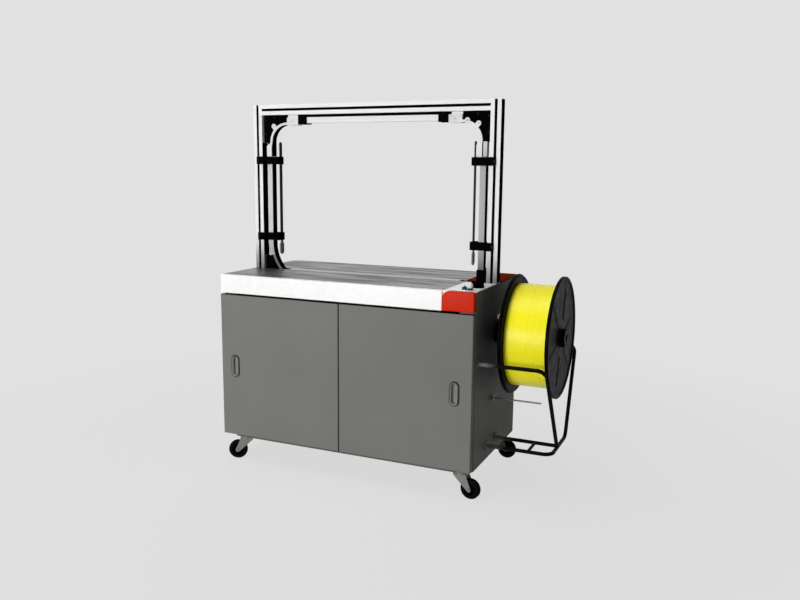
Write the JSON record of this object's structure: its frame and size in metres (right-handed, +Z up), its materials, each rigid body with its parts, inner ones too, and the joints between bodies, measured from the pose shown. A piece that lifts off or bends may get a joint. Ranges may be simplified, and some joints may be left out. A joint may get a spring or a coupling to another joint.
{
  "type": "automatic arch strapping machine",
  "caption": "Automatic strapping machine: cabinet on casters with two doors, steel table, strap arch in aluminium profile and a guarded strap reel at the right side.",
  "frame": {"origin": "middle of the whole machine's box in plan, on the floor", "axes": "+X to the operator's right (towards the reel), +Y to the back, +Z up"},
  "size_m": [1.31, 0.568, 1.416],
  "materials": {
    "charcoal_paint": "fine textured powder coat",
    "black_paint": "satin",
    "white_paint": "gloss powder coat",
    "red_paint": "gloss",
    "dark_red_paint": "gloss",
    "table_steel": "brushed",
    "zinc_steel": "bright zinc",
    "anodised": "satin anodised",
    "track_cover": "satin",
    "chrome": "polished",
    "cast_body": "painted",
    "machined": "machined",
    "black_plastic": "moulded",
    "white_nylon": "moulded",
    "grey_plastic": "moulded",
    "green_plastic": "moulded",
    "button_white": "moulded",
    "strap_yellow": "embossed strap",
    "wheel_rubber": "matte",
    "box_enamel": "satin"
  },
  "bodies": {
    "cabinet": {"arch_beam": "anodised", "base_tray": "charcoal_paint", "centre_post": "charcoal_paint", "control_panel": "white_paint", "corner_guide_left": "white_nylon", "corner_guide_right": "white_nylon", "corner_gussets": "black_paint", "door_hardware": "zinc_steel", "electric_box": "box_enamel", "feed_unit": "machined", "front_band": "white_paint", "front_end_cap": "red_paint", "gear_motor": "cast_body", "guard_front_tube": "black_paint", "guard_low_bar": "black_paint", "guard_rear_tube": "black_paint", "inner_rails": "grey_plastic", "rear_band": "white_paint", "rear_corner_cover": "dark_red_paint", "rear_panel": "charcoal_paint", "reel_bracket": "black_paint", "sealing_head": "machined", "side_panel_left": "charcoal_paint", "side_panel_right": "charcoal_paint", "side_track_left": "black_paint", "side_track_right": "black_paint", "slide_plate": "machined", "strap_guide_rod": "zinc_steel", "strap_inlet": "black_plastic", "strap_magazine": "zinc_steel", "table_front": "table_steel", "table_rails": "black_paint", "table_rear": "table_steel", "top_track": "anodised", "track_clamps": "black_plastic", "track_covers": "track_cover", "track_hangers": "black_plastic", "upright_left": "anodised", "upright_right": "anodised"},
    "door_left": {"door_left": "charcoal_paint", "door_pull_left": "chrome"},
    "door_right": {"door_right": "charcoal_paint", "door_pull_right": "chrome"},
    "reel": {"inner_flange": "black_plastic", "outer_flange": "black_plastic", "strap_coil": "strap_yellow", "lock_knob": "black_plastic"},
    "main_switch": {"main_switch_knob": "green_plastic"},
    "reset_button": {"reset_button": "button_white"},
    "tension_dial": {"tension_dial": "black_plastic"},
    "feed_roller": {"feed_roller": "grey_plastic"},
    "pinch_roller": {"pinch_roller": "wheel_rubber"},
    "fork_front_left": {"caster_fork_front_left": "zinc_steel"},
    "wheel_front_left": {"caster_wheel_front_left": "wheel_rubber"},
    "fork_front_right": {"caster_fork_front_right": "zinc_steel"},
    "wheel_front_right": {"caster_wheel_front_right": "wheel_rubber"},
    "fork_rear_left": {"caster_fork_rear_left": "zinc_steel"},
    "wheel_rear_left": {"caster_wheel_rear_left": "wheel_rubber"},
    "fork_rear_right": {"caster_fork_rear_right": "zinc_steel"},
    "wheel_rear_right": {"caster_wheel_rear_right": "wheel_rubber"}
  },
  "joints": [
    {"name": "door_left_hinge", "type": "hinge", "parent": "cabinet", "child": "door_left", "pos_m": [-0.148, -0.274, 0.106], "axis": [0, 0, 1], "range_deg": [0, 90]},
    {"name": "door_right_hinge", "type": "hinge", "parent": "cabinet", "child": "door_right", "pos_m": [-0.112, -0.274, 0.106], "axis": [0, 0, -1], "range_deg": [0, 90]},
    {"name": "reel_spin", "type": "hinge", "parent": "cabinet", "child": "reel", "pos_m": [0.47, 0.001, 0.565], "axis": [1, 0, 0], "continuous": true},
    {"name": "main_switch_turn", "type": "hinge", "parent": "cabinet", "child": "main_switch", "pos_m": [0.344, -0.237, 0.751], "axis": [0, 0, 1], "range_deg": [0, 90]},
    {"name": "tension_dial_turn", "type": "hinge", "parent": "cabinet", "child": "tension_dial", "pos_m": [0.362, -0.149, 0.751], "axis": [0, 0, 1], "range_deg": [0, 270]},
    {"name": "reset_button_push", "type": "slide", "parent": "cabinet", "child": "reset_button", "axis": [0, 0, -1], "range_m": [0, 0.0035], "stiffness_N_per_m": 400},
    {"name": "feed_roller_spin", "type": "hinge", "parent": "cabinet", "child": "feed_roller", "pos_m": [0.27, 0.054, 0.585], "axis": [0, 1, 0], "continuous": true},
    {"name": "pinch_roller_spin", "type": "hinge", "parent": "cabinet", "child": "pinch_roller", "pos_m": [0.27, 0.054, 0.64], "axis": [0, 1, 0], "continuous": true},
    {"name": "caster_swivel_front_left", "type": "hinge", "parent": "cabinet", "child": "fork_front_left", "pos_m": [-0.568, -0.244, 0.1], "axis": [0, 0, 1], "continuous": true},
    {"name": "wheel_roll_front_left", "type": "hinge", "parent": "fork_front_left", "child": "wheel_front_left", "pos_m": [-0.60298, -0.25885, 0.0375], "axis": [0.3907, -0.9205, 0], "continuous": true},
    {"name": "caster_swivel_front_right", "type": "hinge", "parent": "cabinet", "child": "fork_front_right", "pos_m": [0.35, -0.244, 0.1], "axis": [0, 0, 1], "continuous": true},
    {"name": "wheel_roll_front_right", "type": "hinge", "parent": "fork_front_right", "child": "wheel_front_right", "pos_m": [0.38763, -0.24929, 0.0375], "axis": [0.1392, 0.9903, 0], "continuous": true},
    {"name": "caster_swivel_rear_left", "type": "hinge", "parent": "cabinet", "child": "fork_rear_left", "pos_m": [-0.568, 0.213, 0.1], "axis": [0, 0, 1], "continuous": true},
    {"name": "wheel_roll_rear_left", "type": "hinge", "parent": "fork_rear_left", "child": "wheel_rear_left", "pos_m": [-0.60563, 0.20771, 0.0375], "axis": [0.1392, -0.9903, 0], "continuous": true},
    {"name": "caster_swivel_rear_right", "type": "hinge", "parent": "cabinet", "child": "fork_rear_right", "pos_m": [0.35, 0.213, 0.1], "axis": [0, 0, 1], "continuous": true},
    {"name": "wheel_roll_rear_right", "type": "hinge", "parent": "fork_rear_right", "child": "wheel_rear_right", "pos_m": [0.38791, 0.21035, 0.0375], "axis": [0.0698, 0.9976, 0], "continuous": true}
  ],
  "couplings": [
    {"joint": "pinch_roller_spin", "follows": "feed_roller_spin", "ratio": -1.4545}
  ]
}
